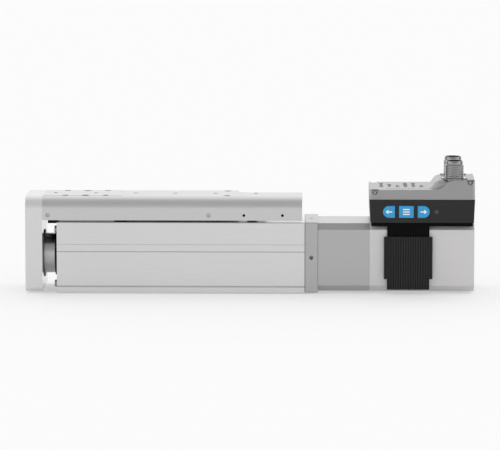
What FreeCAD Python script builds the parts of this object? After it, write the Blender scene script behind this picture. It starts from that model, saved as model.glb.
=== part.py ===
import FreeCAD, Part
import math
import os

os.makedirs("parts", exist_ok=True)
V = FreeCAD.Vector

# An electric mini slide: a table on a ball guide, pushed by a hollow rod and a ball screw, with the
# motor in line behind and a control unit on the motor. X runs along the stroke, from the yoke at -X to
# the motor at +X. The origin is the middle of the housing's underside. Millimetres and degrees.

# Clearances
running_gap = 0.03
seat_gap = 0.05
free_gap = 0.3
tip_gap = 0.5

# Housing and drive line
body_width = 45.0
stroke = 75.0
housing_reserve = 79.0
housing_height = 44.5
edge_chamfer = 0.4
bore_radius = 14.5

# Side grooves of the housing, each as height above the underside, opening and depth
side_grooves = [(30.6, 0.3, 0.12), (26.1, 0.6, 0.3), (4.3, 0.9, 0.5)]

# Threaded holes in the housing's underside
base_hole_radius = 2.1
base_hole_depth = 10.0
base_hole_end = 27.0
base_hole_side = 6.5

# Slide table and yoke
table_gap = 1.2
table_depth = 14.4
table_end_gap = 1.6
table_plate = 5.0
table_wall = 3.75
table_round = 8.0
pad_rise = 0.1
pad_length = 49.6
notch_length = 40.1
notch_y = 4.75
notch_radius = 7.0
yoke_thickness = 10.5
yoke_gap = 9.0
yoke_bottom = 1.0
yoke_corner = 3.0
yoke_screw_ys = [-14.0, -5.0, 5.0, 14.0]
yoke_screw_share = 0.6
yoke_screw_radius = 1.25
yoke_screw_depth = 8.0
yoke_head_radius = 2.1
yoke_head_height = 2.5
yoke_hole_radius = 2.1
yoke_hole_depth = 8.0
yoke_hole_offset = 12.5

# Holes in the table
table_hole_radius = 2.1
table_pin_radius = 2.5
table_hole_y = 12.5
table_hole_step = 12.5
table_hole_first = 14.0
table_far_hole_from_notch = 6.5
side_hole_radius = 0.85
side_plug_radius = 1.25
side_hole_rise = 3.2
side_hole_depth = 3.0
first_plug_from_yoke = 3.5
second_plug_from_end = 58.0
open_holes_from_end = [36.1, 12.2]

# Guide rail and carriage
rail_width = 12.0
rail_height = 6.5
rail_pitch = 25.0
rail_screw_count = 6
rail_first = 7.3
rail_end_margin = 7.0
rail_screw_radius = 1.5
rail_head_radius = 2.75
rail_head_height = 2.6
carriage_overhang = 5.7
carriage_length = 48.3
carriage_cap_length = 7.0
carriage_apron = 1.2
carriage_side_gap = 4.5
carriage_ledge = 6.2
carriage_flange_height = 4.0
carriage_height = 9.1
carriage_floor = 3.6
carriage_screw_inset = 3.1
carriage_screw_span = 24.0
carriage_screw_radius = 1.5
carriage_head_radius = 2.6
carriage_head_height = 2.0
carriage_screw_depth = 7.0
ball_groove_radius = 1.25
ball_height = 7.3
stop_reserve = 0.5
stop_length = 6.0
stop_half_width = 9.5
stop_clearance = 0.8

# Piston rod, nut and spindle
rod_radius = 12.5
rod_bore_radius = 7.5
rod_front_solid = 20.0
rod_reserve = 11.0
rod_screw_radius = 4.0
rod_screw_depth = 16.0
rod_screw_head_radius = 6.4
rod_screw_head_height = 5.4
buffer_radius = 14.9
buffer_thickness = 0.4
bush_length = 18.0
wiper_length = 3.0
wiper_lip = 1.9
wiper_lip_radius = 13.8
front_screw_side = 5.5
front_screw_rise = 5.5
front_screw_drop = 5.0
front_screw_radius = 1.25
front_screw_depth = 4.0
front_head_radius = 2.2
front_head_height = 1.6
nut_radius = 14.0
nut_length = 30.0
nut_neck_radius = 9.5
nut_neck_length = 14.0
spindle_radius = 5.0
spindle_reach = 7.0
spindle_journal_radius = 4.0
spindle_tip_radius = 3.0

# Drive flange and spindle bearing
flange_thickness = 8.3
flange_inset = 0.5
flange_bottom = 0.5
flange_web = 2.0
flange_lip = 2.0
flange_lip_radius = 8.0
flange_screw_inset = 5.5
flange_screw_radius = 2.0
flange_screw_depth = 10.0
flange_head_radius = 3.4
flange_head_height = 4.0
set_screw_radius = 1.2
set_screw_recess = 0.6
bearing_width = 7.0
bearing_count = 2
bearing_radius = 11.0
bearing_race_wall = 2.4
bearing_seal = 0.8
bearing_seal_gap = 0.1
lock_nut_radius = 8.0
lock_nut_length = 3.5
lock_nut_slot = 2.0

# Coupling and its housing
coupling_housing_length = 32.0
square_inset = 1.35
square_chamfer = 3.7
coupling_wall = 8.65
spigot_radius = 16.0
spigot_bore_radius = 10.5
hub_gap = 2.5
hub_length = 10.0
hub_start_gap = 1.0
jaw_length = 6.0
jaw_inner_radius = 4.5
jaw_angle = 44.0
jaw_count = 3
spider_gap = 0.2
spider_ring_wall = 1.2

# Motor
motor_length = 64.9
motor_wall = 2.55
motor_end_wall = 3.0
motor_screw_inset = 5.65
motor_screw_radius = 1.5
motor_screw_reach = 10.0
motor_head_radius = 2.8
motor_head_height = 2.6
shield_thickness = 6.0
shield_boss = 2.0
shield_hole_radius = 3.0
motor_shaft_radius = 2.5
motor_bearing_radius = 8.0
motor_bearing_width = 5.0
stator_start = 8.7
stator_end = 21.2
stator_wall = 5.8
stator_slot_count = 8
stator_slot_inner_wall = 1.2
stator_slot_outer_wall = 1.6
stator_slot_angle = 30.0
coil_overhang = 2.0
rotor_gap = 0.3
rotor_inset = 2.0
rear_shield_end = 18.2
magnet_radius = 3.0
magnet_length = 2.0
encoder_board_gap = 3.6
encoder_board_thickness = 1.6
encoder_gap = 0.8
shaft_tail = 1.5
post_radius = 1.5
post_count = 3

# Control unit
control_side = 1.5
control_wall = 2.0
control_height = 14.4
control_draft = 0.6
control_overhang = 0.15
base_height = 1.15
base_side = 1.85
base_skirt = 1.2
base_skirt_drop = 1.15
base_inset = 1.0
deck_rise = 5.8
hump_rise = 5.75
hump_run = 12.2
hump_from_end = 12.3
platform_run = 9.5
platform_from_end = 20.4
platform_side = 7.5
platform_round = 3.0
cover_corner = 1.5
cover_inset = 0.3
cover_lean = 2.2
cover_wall = 2.0
deck_screw_inset_x = 3.3
deck_screw_inset_y = 3.7
hump_screw_inset_x = 2.9
hump_screw_inset_y = 5.9
pocket_radius = 2.6
deck_pocket_depth = 3.0
hump_pocket_depth = 3.0
pocket_wall = 1.2
cover_screw_radius = 1.25
cover_head_radius = 1.9
cover_head_height = 2.0
cover_screw_length = 9.0
board_side_gap = 5.5
board_inset = 4.0
board_thickness = 1.6
board_rise = 5.2
capacitor_radius = 4.0
capacitor_height = 6.0
capacitor_inset = 10.0
capacitor_half_pitch = 8.0
chip_width = 10.0
chip_height = 1.2
chip_offset = 12.0
key_board_thickness = 1.6
key_rest_gap = 0.25

# Keys and status window
key_height = 7.5
key_rise = 6.85
key_end_width = 7.4
key_middle_width = 9.2
key_gap = 2.5
key_first = 8.25
key_proud = 0.4
key_travel = 0.4
key_side_gap = 0.15
key_flange = 0.8
key_flange_thickness = 0.6
window_offset = 40.2
window_width = 2.5
window_height = 2.2

# Round plugs on the hump
plug_from_end = 12.4
plug_half_pitch = 12.5
plug_radius = 5.9
plug_bore_radius = 4.7
plug_neck_radius = 5.4
plug_collar_radius = 5.3
plug_collar_height = 2.5
plug_height = 11.6
plug_depth = 7.0
plug_hex_height = 0.8
plug_hex_across = 14.0
insert_height = 5.0
pin_radius = 0.5
pin_height = 4.0
pin_circle = 2.7
pin_count = 4

# Wiring cover and ribbed cap on the motor's front
strap_width = 26.2
strap_thickness = 1.35
strap_rise = 1.55
strap_from_motor = 23.9
cap_width = 30.1
cap_top_gap = 6.6
cap_bottom_gap = 6.6
cap_thickness = 1.5
rib_pitch = 1.53
rib_depth = 0.5

# Places that follow from the sizes above
axis_height = body_width / 2
housing_length = stroke + housing_reserve
housing_front = -housing_length / 2
housing_rear = housing_length / 2
flange_rear = housing_rear + flange_thickness
motor_front = flange_rear + coupling_housing_length
motor_rear = motor_front + motor_length
yoke_rear = housing_front - yoke_gap
yoke_front = yoke_rear - yoke_thickness
half_body = body_width / 2
half_square = half_body - square_inset
half_flange = half_body - flange_inset
motor_top = axis_height + half_square
motor_bottom = axis_height - half_square
table_bottom = housing_height + table_gap
table_top = table_bottom + table_depth
side_hole_height = table_bottom + side_hole_rise
plate_under = table_top - table_plate
yoke_screw_z = table_top - yoke_screw_share * table_plate
table_end_x = housing_rear - table_end_gap
pad_end_x = yoke_rear + pad_length
notch_x = table_end_x - notch_length
table_hole_first_x = yoke_rear + table_hole_first
table_far_hole_x = notch_x - table_far_hole_from_notch
side_plug_xs = [yoke_rear + first_plug_from_yoke, table_end_x - second_plug_from_end]
side_open_xs = [table_end_x - place for place in open_holes_from_end]
rail_under = plate_under - rail_height
rail_first_x = yoke_rear + rail_first
rail_start = rail_first_x - rail_end_margin
rail_last_x = rail_first_x + rail_pitch * (rail_screw_count - 1)
rail_end = rail_last_x + rail_end_margin
rail_xs = [rail_first_x + rail_pitch * i for i in range(rail_screw_count)]
carriage_flange_half = half_body - carriage_side_gap
carriage_half_width = carriage_flange_half - carriage_ledge
carriage_screw_y = carriage_flange_half - carriage_screw_inset
carriage_start_x = housing_front - carriage_overhang
carriage_end_x = carriage_start_x + carriage_length
stop_start_x = carriage_end_x + stroke + stop_reserve
rod_end_x = housing_front + wiper_length + bush_length + stroke + rod_reserve
spindle_start_x = rod_end_x - stroke - spindle_reach
flange_screw_offset = half_body - flange_screw_inset
set_screw_x = housing_rear + flange_thickness / 2
coupling_bore_radius = half_square - coupling_wall
hub_radius = coupling_bore_radius - hub_gap
hub_front = flange_rear + hub_start_gap
jaw_front = hub_front + hub_length
jaw_rear = jaw_front + jaw_length
hub_rear = jaw_rear + hub_length
motor_bore_radius = half_square - motor_wall
motor_screw_offset = half_square - motor_screw_inset
stator_length = motor_length - stator_start - stator_end
stator_bore_radius = motor_bore_radius - stator_wall
stator_slot_inner_radius = stator_bore_radius + stator_slot_inner_wall
stator_slot_outer_radius = motor_bore_radius - stator_slot_outer_wall
rotor_radius = stator_bore_radius - rotor_gap
encoder_board_radius = motor_bore_radius - encoder_board_gap
shield_rear = motor_front + shield_thickness
rear_shield_front = motor_rear - rear_shield_end
rear_shield_rear = rear_shield_front + motor_bearing_width
shaft_end = rear_shield_rear + shaft_tail
encoder_board_x = shaft_end + magnet_length + encoder_gap
bearing_end = housing_rear + flange_web
bearing_start = bearing_end - bearing_width * bearing_count
base_half_width = half_square + base_side
control_half_width = base_half_width + control_side
control_bottom = motor_top + base_height
control_top = control_bottom + control_height
deck_height = control_top + deck_rise
hump_height = deck_height + hump_rise
cover_side_half = control_half_width - cover_inset
board_height = control_bottom + board_rise
board_half_width = control_half_width - board_side_gap
key_middle_z = control_bottom + key_rise
control_front_x = motor_front - control_overhang
control_rear_x = motor_rear + control_overhang
board_x0 = control_front_x + board_inset
board_x1 = control_rear_x - board_inset
deck_screw_x = control_front_x + deck_screw_inset_x
hump_screw_x = control_rear_x - hump_screw_inset_x
deck_screw_y = cover_side_half - deck_screw_inset_y
hump_screw_y = cover_side_half - hump_screw_inset_y
deck_pocket_floor = deck_height - deck_pocket_depth
hump_pocket_floor = hump_height - hump_pocket_depth
platform_half = control_half_width - platform_side
platform_end_x = motor_rear - platform_from_end
plug_x = motor_rear - plug_from_end
hump_end_x = motor_rear - hump_from_end
strap_middle_x = motor_front + strap_from_motor
strap_bottom = motor_bottom + strap_rise
strap_top = motor_top - base_skirt_drop
cap_bottom = strap_bottom + cap_bottom_gap
cap_top = strap_top - cap_top_gap


def box(x0, x1, y0, y1, z0, z1):
    return Part.makeBox(x1 - x0, y1 - y0, z1 - z0, V(x0, y0, z0))


def rod_x(x0, x1, radius, y=0.0, z=axis_height):
    return Part.makeCylinder(radius, x1 - x0, V(x0, y, z), V(1, 0, 0))


def rod_y(y0, y1, radius, x, z):
    return Part.makeCylinder(radius, y1 - y0, V(x, y0, z), V(0, 1, 0))


def rod_z(z0, z1, radius, x, y):
    return Part.makeCylinder(radius, z1 - z0, V(x, y, z0))


def tube_x(x0, x1, outer, inner):
    return rod_x(x0, x1, outer).cut(rod_x(x0, x1, inner))


def joined(shapes):
    return shapes[0].fuse(shapes[1:]).removeSplitter()


def group(shapes):
    return Part.makeCompound(shapes)


def prism_x(points, x0, x1):
    """Closed outline of (y, z) points pushed along X."""
    wire = Part.makePolygon([V(x0, y, z) for y, z in points + points[:1]])
    return Part.Face(wire).extrude(V(x1 - x0, 0, 0))


def sector_x(x0, x1, inner, outer, middle_angle, width_angle):
    """Part of a ring about the drive axis, round a middle angle."""
    ring = Part.makeCylinder(outer, x1 - x0, V(x0, 0, axis_height), V(1, 0, 0), width_angle)
    ring = ring.cut(rod_x(x0, x1, inner))
    ring.rotate(V(0, 0, axis_height), V(1, 0, 0), middle_angle - width_angle / 2)
    return ring


def corners(offset):
    """Four places round the drive axis, as (y, z)."""
    return [(sy * offset, axis_height + sz * offset) for sy in (-1, 1) for sz in (-1, 1)]


def chamfered_square(x0, x1):
    """Square bar of the motor's size with its long edges cut off."""
    a = half_square
    b = half_square - square_chamfer
    outline = [(-b, -a), (b, -a), (a, -b), (a, b), (b, a), (-b, a), (-a, b), (-a, -b)]
    return prism_x([(y, axis_height + z) for y, z in outline], x0, x1)


def save(name, shape):
    if not shape.isValid():
        raise ValueError(name + " is not a valid shape")
    shape.exportStep("parts/" + name + ".step")


# Housing: an extruded profile with a through bore, fine side grooves and threaded holes
def housing_profile():
    w = half_body
    c = edge_chamfer
    h = housing_height
    outline = [(-w + c, 0), (w - c, 0), (w, c), (w, h - c), (w - c, h), (-w + c, h), (-w, h - c), (-w, c)]
    bar = prism_x(outline, housing_front, housing_rear)
    cuts = [rod_x(housing_front, housing_rear, bore_radius)]
    for z, opening, depth in side_grooves:
        for side in (-1, 1):
            groove = [(side * w, z - opening / 2), (side * (w - depth), z), (side * w, z + opening / 2)]
            cuts.append(prism_x(groove, housing_front, housing_rear))
    hole_y = half_body - base_hole_side
    for x in (housing_front + base_hole_end, housing_rear - base_hole_end):
        for y in (-hole_y, hole_y):
            cuts.append(rod_z(0, base_hole_depth, base_hole_radius, x, y))
    for y, z in corners(flange_screw_offset):
        cuts.append(rod_x(housing_rear - flange_screw_depth - tip_gap, housing_rear,
                          flange_screw_radius + seat_gap, y, z))
    for y, z in front_screw_places():
        cuts.append(rod_x(housing_front, housing_front + front_screw_depth + tip_gap,
                          front_screw_radius + seat_gap, y, z))
    for x, y in carriage_screw_places():
        cuts.append(rod_z(housing_height - carriage_screw_depth - tip_gap, housing_height,
                          carriage_screw_radius + seat_gap, x, y))
    return bar.cut(cuts)


def carriage_screw_places():
    middle = carriage_start_x + carriage_length / 2
    return [(middle + sx * carriage_screw_span / 2, sy * carriage_screw_y)
            for sx in (-1, 1) for sy in (-1, 1)]


# Rod guide and wiper in the front of the bore
def rod_guide_bush():
    start = housing_front + wiper_length
    return tube_x(start, start + bush_length, bore_radius, rod_radius + running_gap)


def rod_wiper_ring():
    body = rod_x(housing_front, housing_front + wiper_length, bore_radius - seat_gap)
    lip = rod_x(housing_front - wiper_lip, housing_front, wiper_lip_radius)
    bore = rod_x(housing_front - wiper_lip, housing_front + wiper_length, rod_radius + seat_gap)
    return joined([body, lip]).cut(bore)


def front_screw_places():
    y = half_body - front_screw_side
    return [(side * y, z) for side in (-1, 1) for z in (front_screw_rise, housing_height - front_screw_drop)]


def front_screws():
    screws = []
    for y, z in front_screw_places():
        head = rod_x(housing_front - front_head_height, housing_front, front_head_radius, y, z)
        shank = rod_x(housing_front, housing_front + front_screw_depth, front_screw_radius, y, z)
        screws.append(joined([head, shank]))
    return group(screws)


# Guide carriage: fixed on the housing, open upwards round the rail
def carriage_block(x0, x1):
    base = housing_height
    body = box(x0, x1, -carriage_half_width, carriage_half_width, base, base + carriage_height)
    foot = box(x0, x1, -carriage_flange_half, carriage_flange_half, base, base + carriage_flange_height)
    half_slot = rail_width / 2 + free_gap
    slot = box(x0, x1, -half_slot, half_slot, base + carriage_floor, base + carriage_height)
    return joined([body, foot]).cut(slot)


def ball_tracks(x0, x1):
    y = rail_width / 2 + free_gap / 2
    z = housing_height + ball_height
    return [rod_x(x0, x1, ball_groove_radius, side * y, z) for side in (-1, 1)]


def guide_carriage():
    x0 = carriage_start_x + carriage_cap_length
    x1 = carriage_end_x - carriage_cap_length
    block = carriage_block(x0, x1)
    holes = [rod_z(housing_height, housing_height + carriage_flange_height,
                   carriage_screw_radius + seat_gap, x, y) for x, y in carriage_screw_places()]
    return block.cut(ball_tracks(x0, x1) + holes)


def carriage_end_caps():
    apron = box(carriage_start_x, housing_front - free_gap, -carriage_flange_half, carriage_flange_half,
                housing_height - carriage_apron, housing_height)
    front = joined([carriage_block(carriage_start_x, carriage_start_x + carriage_cap_length), apron])
    rear = carriage_block(carriage_end_x - carriage_cap_length, carriage_end_x)
    return group([front, rear])


def carriage_screws():
    top = housing_height + carriage_flange_height
    screws = []
    for x, y in carriage_screw_places():
        head = rod_z(top, top + carriage_head_height, carriage_head_radius, x, y)
        shank = rod_z(housing_height - carriage_screw_depth, top, carriage_screw_radius, x, y)
        screws.append(joined([head, shank]))
    return group(screws)


# Slide table: an inverted trough with rounded shoulders, cut back at its rear corner
def shoulder_outline(x, bottom):
    """Outer outline of table and yoke, with round shoulders, as a wire's edges."""
    rise = table_top - table_round
    flat_half = half_body - table_round
    lean = table_round * math.cos(math.pi / 4)
    left_low = V(x, -half_body, bottom)
    left_rise = V(x, -half_body, rise)
    left_top = V(x, -flat_half, table_top)
    right_top = V(x, flat_half, table_top)
    right_rise = V(x, half_body, rise)
    right_low = V(x, half_body, bottom)
    return [
        Part.makeLine(left_low, left_rise),
        Part.Arc(left_rise, V(x, -flat_half - lean, rise + lean), left_top).toShape(),
        Part.makeLine(left_top, right_top),
        Part.Arc(right_top, V(x, flat_half + lean, rise + lean), right_rise).toShape(),
        Part.makeLine(right_rise, right_low),
        Part.makeLine(right_low, left_low),
    ]


def rounded_bar(x0, x1, bottom):
    return Part.Face(Part.Wire(shoulder_outline(x0, bottom))).extrude(V(x1 - x0, 0, 0))


def table_hole_xs():
    near = [table_hole_first_x, table_hole_first_x + 2 * table_hole_step]
    return near + [table_far_hole_x]


def slide_table():
    bar = rounded_bar(yoke_rear, table_end_x, table_bottom)
    pad_half = half_body - table_round
    pad = box(yoke_rear, pad_end_x, -pad_half, pad_half, table_top, table_top + pad_rise)
    bar = joined([bar, pad])
    inner = half_body - table_wall
    cuts = [box(yoke_rear, table_end_x, -inner, inner, table_bottom, plate_under)]
    top = table_top + pad_rise
    notch = box(notch_x, table_end_x, notch_y, half_body, table_bottom, top)
    edge = [e for e in notch.Edges
            if abs(e.CenterOfMass.x - notch_x) < 0.01 and abs(e.CenterOfMass.y - notch_y) < 0.01]
    cuts.append(notch.makeFillet(notch_radius, edge))
    for side in (-1, 1):
        for x in table_hole_xs():
            cuts.append(rod_z(plate_under, top, table_hole_radius, x, side * table_hole_y))
        pin_x = table_hole_first_x + table_hole_step
        cuts.append(rod_z(plate_under, top, table_pin_radius, pin_x, side * table_hole_y))
    for x in rail_xs:
        cuts.append(rod_z(plate_under, top, rail_screw_radius + seat_gap, x, 0))
    for radius, places in ((side_plug_radius + seat_gap, side_plug_xs), (side_hole_radius, side_open_xs)):
        for x in places:
            cuts.append(rod_y(-half_body, -half_body + side_hole_depth, radius, x, side_hole_height))
    for y in yoke_screw_ys:
        cuts.append(rod_x(yoke_rear, yoke_rear + yoke_screw_depth + tip_gap,
                          yoke_screw_radius + seat_gap, y, yoke_screw_z))
    return bar.cut(cuts)


def yoke_plate():
    plate = rounded_bar(yoke_front, yoke_rear, yoke_bottom)
    low = [e for e in plate.Edges
           if abs(e.CenterOfMass.z - yoke_bottom) < 0.01 and abs(abs(e.CenterOfMass.y) - half_body) < 0.01]
    plate = plate.makeFillet(yoke_corner, low)
    cuts = [rod_x(yoke_front, yoke_rear, rod_screw_radius + seat_gap),
            rod_x(yoke_front, yoke_front + rod_screw_head_height + tip_gap, rod_screw_head_radius + free_gap)]
    for y, z in corners(yoke_hole_offset):
        cuts.append(rod_x(yoke_front, yoke_front + yoke_hole_depth, yoke_hole_radius, y, z))
    for y in yoke_screw_ys:
        cuts.append(rod_x(yoke_front, yoke_rear, yoke_screw_radius + seat_gap, y, yoke_screw_z))
        cuts.append(rod_x(yoke_front, yoke_front + yoke_head_height + tip_gap,
                          yoke_head_radius + seat_gap, y, yoke_screw_z))
    return plate.cut(cuts)


def yoke_screws():
    seat = yoke_front + yoke_head_height + tip_gap
    screws = []
    for y in yoke_screw_ys:
        head = rod_x(seat - yoke_head_height, seat, yoke_head_radius, y, yoke_screw_z)
        shank = rod_x(seat, yoke_rear + yoke_screw_depth, yoke_screw_radius, y, yoke_screw_z)
        screws.append(joined([head, shank]))
    return group(screws)


def rod_screw():
    seat = yoke_front + rod_screw_head_height + tip_gap
    head = rod_x(seat - rod_screw_head_height, seat, rod_screw_head_radius)
    shank = rod_x(seat, yoke_rear + rod_screw_depth - tip_gap, rod_screw_radius)
    return joined([head, shank])


def side_plugs():
    y0 = -half_body + set_screw_recess
    y1 = -half_body + side_hole_depth - seat_gap
    return group([rod_y(y0, y1, side_plug_radius, x, side_hole_height) for x in side_plug_xs])


def guide_rail():
    half = rail_width / 2
    bar = box(rail_start, rail_end, -half, half, rail_under, plate_under)
    cuts = ball_tracks(rail_start, rail_end)
    seat = rail_under + rail_head_height + tip_gap
    for x in rail_xs:
        cuts.append(rod_z(rail_under, plate_under, rail_screw_radius + seat_gap, x, 0))
        cuts.append(rod_z(rail_under, seat, rail_head_radius + seat_gap, x, 0))
    return bar.cut(cuts)


def rail_screws():
    seat = rail_under + rail_head_height + tip_gap
    screws = []
    for x in rail_xs:
        head = rod_z(seat - rail_head_height, seat, rail_head_radius, x, 0)
        shank = rod_z(seat, table_top - tip_gap, rail_screw_radius, x, 0)
        screws.append(joined([head, shank]))
    return group(screws)


def stop_block():
    x1 = stop_start_x + stop_length
    saddle = box(stop_start_x, x1, -stop_half_width, stop_half_width,
                 housing_height + stop_clearance, plate_under)
    half = rail_width / 2
    return saddle.cut(box(stop_start_x, x1, -half, half, rail_under, plate_under))


# Piston rod with its nut, and the ring at its foot
def piston_rod():
    rod = rod_x(yoke_rear, rod_end_x, rod_radius)
    bore = rod_x(yoke_rear + rod_front_solid, rod_end_x, rod_bore_radius)
    neck = rod_x(rod_end_x - nut_neck_length, rod_end_x, nut_neck_radius)
    thread = rod_x(yoke_rear, yoke_rear + rod_screw_depth, rod_screw_radius + seat_gap)
    return rod.cut([bore, neck, thread])


def rod_buffer_ring():
    return tube_x(yoke_rear, yoke_rear + buffer_thickness, buffer_radius, rod_radius + seat_gap)


def ball_nut():
    body = rod_x(rod_end_x, rod_end_x + nut_length, nut_radius)
    neck = rod_x(rod_end_x - nut_neck_length, rod_end_x, nut_neck_radius - seat_gap)
    bore = rod_x(rod_end_x - nut_neck_length, rod_end_x + nut_length, spindle_radius + free_gap)
    return joined([body, neck]).cut(bore)


# Drive flange with the spindle bearing behind the nut
def drive_flange():
    top = housing_height
    plate = box(housing_rear, flange_rear, -half_flange, half_flange, flange_bottom, top)
    plate = plate.makeChamfer(edge_chamfer, plate.Edges)
    boss = rod_x(bearing_start - flange_lip, bearing_end, bore_radius - seat_gap)
    cuts = [rod_x(bearing_start - flange_lip, bearing_start, flange_lip_radius),
            rod_x(bearing_start, bearing_end, bearing_radius),
            rod_x(bearing_end, flange_rear, spigot_radius)]
    for y, z in corners(flange_screw_offset):
        cuts.append(rod_x(housing_rear, flange_rear, flange_screw_radius + seat_gap, y, z))
        cuts.append(rod_x(flange_rear - flange_head_height - tip_gap, flange_rear,
                          flange_head_radius + seat_gap, y, z))
    x = set_screw_x
    cuts.append(rod_y(-half_flange, -spigot_radius + tip_gap, set_screw_radius + seat_gap, x, axis_height))
    cuts.append(rod_z(axis_height + spigot_radius - tip_gap, top, set_screw_radius + seat_gap, x, 0))
    return joined([plate, boss]).cut(cuts)


def flange_set_screws():
    front = rod_y(-half_flange + set_screw_recess, -spigot_radius, set_screw_radius, set_screw_x, axis_height)
    top = housing_height - set_screw_recess
    upper = rod_z(axis_height + spigot_radius, top, set_screw_radius, set_screw_x, 0)
    return group([front, upper])


def flange_screws():
    seat = flange_rear - flange_head_height - tip_gap
    screws = []
    for y, z in corners(flange_screw_offset):
        head = rod_x(seat, seat + flange_head_height, flange_head_radius, y, z)
        shank = rod_x(housing_rear - flange_screw_depth, seat, flange_screw_radius, y, z)
        screws.append(joined([head, shank]))
    return group(screws)


def bearing_starts():
    return [bearing_start + bearing_width * i for i in range(bearing_count)]


def bearing_outer_rings():
    """One outer ring per row, with the two seals that reach down to the inner ring."""
    lip = spindle_journal_radius + bearing_race_wall + bearing_seal_gap
    rings = []
    for x0 in bearing_starts():
        x1 = x0 + bearing_width
        inside = rod_x(x0 + bearing_seal, x1 - bearing_seal, bearing_radius - bearing_race_wall)
        rings.append(tube_x(x0, x1, bearing_radius, lip).cut(inside))
    return group(rings)


def bearing_inner_rings():
    outer = spindle_journal_radius + bearing_race_wall
    return group([tube_x(x0, x0 + bearing_width, outer, spindle_journal_radius)
                  for x0 in bearing_starts()])


# Spindle and coupling
def spindle():
    shoulder = rod_x(spindle_start_x, bearing_start, spindle_radius)
    journal = rod_x(bearing_start, bearing_end + lock_nut_length, spindle_journal_radius)
    tip = rod_x(bearing_end + lock_nut_length, jaw_front, spindle_tip_radius)
    return joined([shoulder, journal, tip])


def lock_nut():
    x0 = bearing_end
    x1 = x0 + lock_nut_length
    ring = tube_x(x0, x1, lock_nut_radius, spindle_journal_radius)
    half = lock_nut_slot / 2
    r = lock_nut_radius
    slots = [box(x0, x1, -half, half, axis_height - r, axis_height - r + lock_nut_slot),
             box(x0, x1, -half, half, axis_height + r - lock_nut_slot, axis_height + r)]
    return ring.cut(slots)


def coupling_hub(x0, x1, bore, first_angle):
    parts = [tube_x(x0, x1, hub_radius, bore)]
    for i in range(jaw_count):
        parts.append(sector_x(jaw_front, jaw_rear, jaw_inner_radius, hub_radius,
                              first_angle + i * 360.0 / jaw_count, jaw_angle))
    return joined(parts)


def coupling_hub_spindle():
    return coupling_hub(hub_front, jaw_front, spindle_tip_radius, 0.0)


def coupling_hub_motor():
    return coupling_hub(jaw_rear, hub_rear, motor_shaft_radius, 180.0 / jaw_count)


def coupling_spider():
    arm_count = 2 * jaw_count
    space = 360.0 / arm_count
    arm_angle = space - jaw_angle - math.degrees(spider_gap / hub_radius)
    x0 = jaw_front + spider_gap
    x1 = jaw_rear - spider_gap
    inner = jaw_inner_radius - spider_gap - spider_ring_wall
    parts = [tube_x(x0, x1, jaw_inner_radius - spider_gap, inner)]
    for i in range(arm_count):
        parts.append(sector_x(x0, x1, inner, hub_radius, space * (i + 0.5), arm_angle))
    return joined(parts)


def coupling_housing():
    bar = chamfered_square(flange_rear, motor_front)
    spigot = rod_x(bearing_end, flange_rear, spigot_radius - seat_gap)
    cuts = [rod_x(bearing_end, flange_rear, spigot_bore_radius),
            rod_x(flange_rear, motor_front, coupling_bore_radius)]
    for y, z in corners(motor_screw_offset):
        cuts.append(rod_x(motor_front - motor_screw_reach - tip_gap, motor_front,
                          motor_screw_radius + seat_gap, y, z))
    return joined([bar, spigot]).cut(cuts)


# Motor: a chamfered square housing, its stator and the bearing shields
def motor_housing():
    bar = chamfered_square(motor_front, motor_rear)
    cuts = [rod_x(motor_front, motor_rear - motor_end_wall, motor_bore_radius)]
    for y, z in corners(motor_screw_offset):
        cuts.append(rod_x(motor_front, motor_rear, motor_screw_radius + seat_gap, y, z))
        cuts.append(rod_x(motor_rear - motor_head_height - tip_gap, motor_rear,
                          motor_head_radius + seat_gap, y, z))
    return bar.cut(cuts)


def motor_screws():
    seat = motor_rear - motor_head_height - tip_gap
    screws = []
    for y, z in corners(motor_screw_offset):
        head = rod_x(seat, seat + motor_head_height, motor_head_radius, y, z)
        shank = rod_x(motor_front - motor_screw_reach, seat, motor_screw_radius, y, z)
        screws.append(joined([head, shank]))
    return group(screws)


def motor_front_shield():
    disc = rod_x(motor_front, shield_rear, motor_bore_radius - seat_gap)
    boss = rod_x(motor_front - shield_boss, motor_front, coupling_bore_radius - seat_gap)
    seat = rod_x(shield_rear - motor_bearing_width, shield_rear, motor_bearing_radius)
    hole = rod_x(motor_front - shield_boss, shield_rear, shield_hole_radius)
    return joined([disc, boss]).cut([seat, hole])


def motor_rear_shield():
    disc = rod_x(rear_shield_front, rear_shield_rear, motor_bore_radius - seat_gap)
    seat = rod_x(rear_shield_front, rear_shield_rear, motor_bearing_radius)
    parts = [disc.cut(seat)]
    post_circle = encoder_board_radius - 2 * post_radius
    for i in range(post_count):
        a = 2 * math.pi * i / post_count
        parts.append(rod_x(rear_shield_rear, encoder_board_x, post_radius,
                           post_circle * math.cos(a), axis_height + post_circle * math.sin(a)))
    return joined(parts)


def encoder_board():
    return rod_x(encoder_board_x, encoder_board_x + encoder_board_thickness, encoder_board_radius)


def motor_bearings():
    inner = motor_shaft_radius + running_gap
    front = tube_x(shield_rear - motor_bearing_width, shield_rear, motor_bearing_radius, inner)
    rear = tube_x(rear_shield_front, rear_shield_rear, motor_bearing_radius, inner)
    return group([front, rear])


def stator_slots(x0, x1):
    space = 360.0 / stator_slot_count
    return [sector_x(x0, x1, stator_slot_inner_radius, stator_slot_outer_radius, space * i, stator_slot_angle)
            for i in range(stator_slot_count)]


def stator_core():
    x0 = motor_front + stator_start
    x1 = x0 + stator_length
    return tube_x(x0, x1, motor_bore_radius, stator_bore_radius).cut(stator_slots(x0, x1))


def stator_coils():
    x0 = motor_front + stator_start
    return group(stator_slots(x0 - coil_overhang, x0 + stator_length + coil_overhang))


def rotor():
    x0 = motor_front + stator_start + rotor_inset
    return tube_x(x0, x0 + stator_length - 2 * rotor_inset, rotor_radius, motor_shaft_radius)


def motor_shaft():
    return rod_x(jaw_rear, shaft_end, motor_shaft_radius)


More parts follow.
